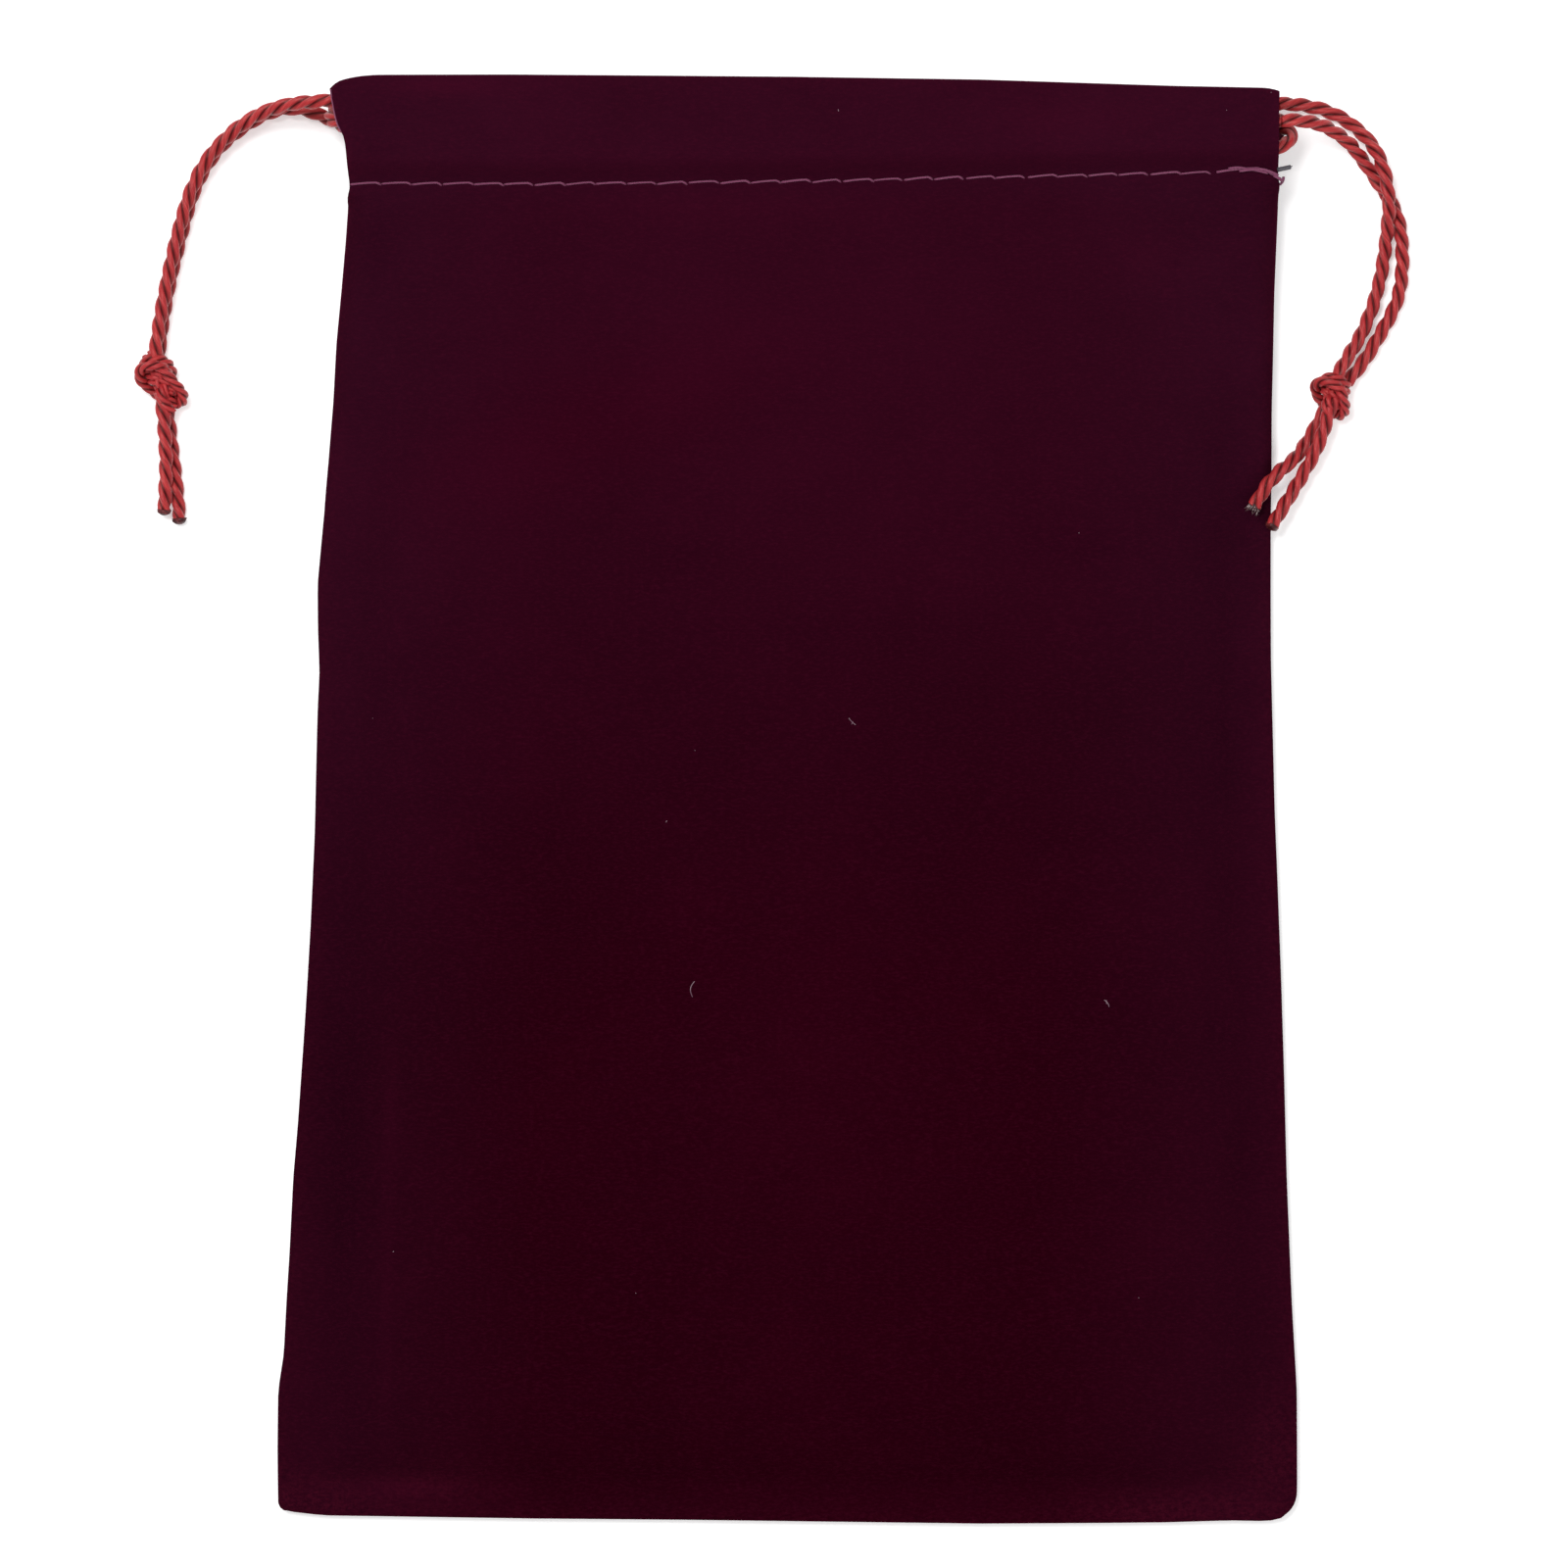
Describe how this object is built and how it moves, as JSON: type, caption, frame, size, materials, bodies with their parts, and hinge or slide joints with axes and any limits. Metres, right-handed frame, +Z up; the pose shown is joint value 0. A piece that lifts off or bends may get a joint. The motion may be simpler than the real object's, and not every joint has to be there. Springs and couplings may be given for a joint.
{
  "type": "fabric gift sack",
  "caption": "Flat velvet gift sack with a stitched channel at its mouth and two opposed twisted-cord drawstrings that gather the mouth when their knotted ends are pulled apart.",
  "frame": {"origin": "middle of the sack's outline, on the surface that it lies on", "axes": "+Y from the bottom seam to the mouth, +X to the right seen from above, +Z up out of the front panel"},
  "size_m": [0.202, 0.2288, 0.013],
  "materials": {
    "velvet": "short-pile velvet, dark burgundy",
    "velvet_inside": "woven back of the velvet, matte",
    "cord": "twisted satin cord, crimson",
    "cord_tip": "heat-sealed cord end, dark and slightly glossy",
    "thread": "polyester sewing thread, mauve"
  },
  "bodies": {
    "sack": {"back_panel": "velvet", "front_panel": "velvet", "back_casing": "velvet", "front_casing": "velvet", "left_seam_allowance": "velvet_inside", "right_seam_allowance": "velvet_inside", "bottom_seam_allowance": "velvet_inside", "left_seam_thread": "thread", "right_seam_thread": "thread", "bottom_seam_thread": "thread", "front_hem_stitching": "thread", "back_hem_stitching": "thread"},
    "left_mouth_end": {"left_front_casing_end": "velvet", "left_back_casing_end": "velvet", "left_opening_stitching": "thread"},
    "right_mouth_end": {"right_front_casing_end": "velvet", "right_back_casing_end": "velvet", "right_bar_tack": "thread", "right_thread_tail": "thread"},
    "left_drawstring": {"left_drawstring_run": "cord", "left_drawstring_front_leg": "cord", "left_drawstring_back_leg": "cord", "left_drawstring_knot": "cord", "left_drawstring_front_tail": "cord", "left_drawstring_back_tail": "cord", "left_drawstring_tips": "cord_tip"},
    "right_drawstring": {"right_drawstring_run": "cord", "right_drawstring_front_leg": "cord", "right_drawstring_back_leg": "cord", "right_drawstring_knot": "cord", "right_drawstring_inner_tail": "cord", "right_drawstring_outer_tail": "cord", "right_drawstring_tips": "cord_tip"}
  },
  "joints": [
    {"name": "left_drawstring_pull", "type": "slide", "parent": "sack", "child": "left_drawstring", "axis": [-1, 0, 0], "range_m": [0, 0.055]},
    {"name": "right_drawstring_pull", "type": "slide", "parent": "sack", "child": "right_drawstring", "axis": [1, 0, 0], "range_m": [0, 0.055]},
    {"name": "right_mouth_gather", "type": "slide", "parent": "sack", "child": "right_mouth_end", "axis": [-1, 0, 0], "range_m": [0, 0.055], "deforming": ["front_casing", "back_casing", "front_hem_stitching", "back_hem_stitching"]},
    {"name": "left_mouth_gather", "type": "slide", "parent": "sack", "child": "left_mouth_end", "axis": [1, 0, 0], "range_m": [0, 0.055], "deforming": ["front_casing", "back_casing", "front_hem_stitching", "back_hem_stitching"]}
  ],
  "couplings": [
    {"joint": "right_mouth_gather", "follows": "left_drawstring_pull", "ratio": 1},
    {"joint": "left_mouth_gather", "follows": "right_drawstring_pull", "ratio": 1}
  ]
}
